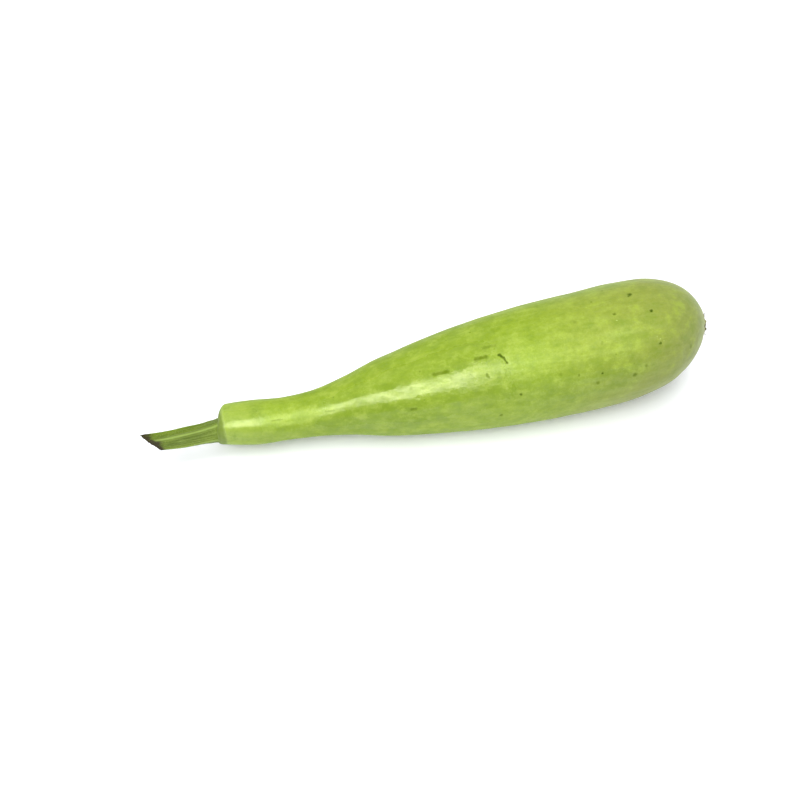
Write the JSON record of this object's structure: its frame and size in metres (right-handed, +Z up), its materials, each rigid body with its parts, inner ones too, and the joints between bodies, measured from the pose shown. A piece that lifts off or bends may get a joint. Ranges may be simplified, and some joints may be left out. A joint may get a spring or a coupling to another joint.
{
  "type": "young bottle gourd",
  "caption": "Young green bottle gourd lying on its side: long club-shaped fruit with a slim neck, a fluted cut stem and a dried blossom scar at its round end",
  "frame": {"origin": "on the surface that the gourd lies on, under the middle of its bounding box", "axes": "+X along the gourd from the cut stem to the blossom end, +Y to its left seen from above with the stem behind, +Z up"},
  "size_m": [0.3182, 0.0674, 0.0694],
  "materials": {
    "gourd_skin": "smooth yellow-green skin with a soft satin shine, thinly downy, paler toward the neck",
    "stem_skin": "dull darker green, downy, ribbed lengthwise, with a dried brown edge round the cut",
    "dried_blossom": "dry, corky and brown, with withered tips"
  },
  "bodies": {
    "root": {"fruit": "gourd_skin", "stem": "stem_skin", "blossom_scar": "dried_blossom"}
  },
  "joints": []
}
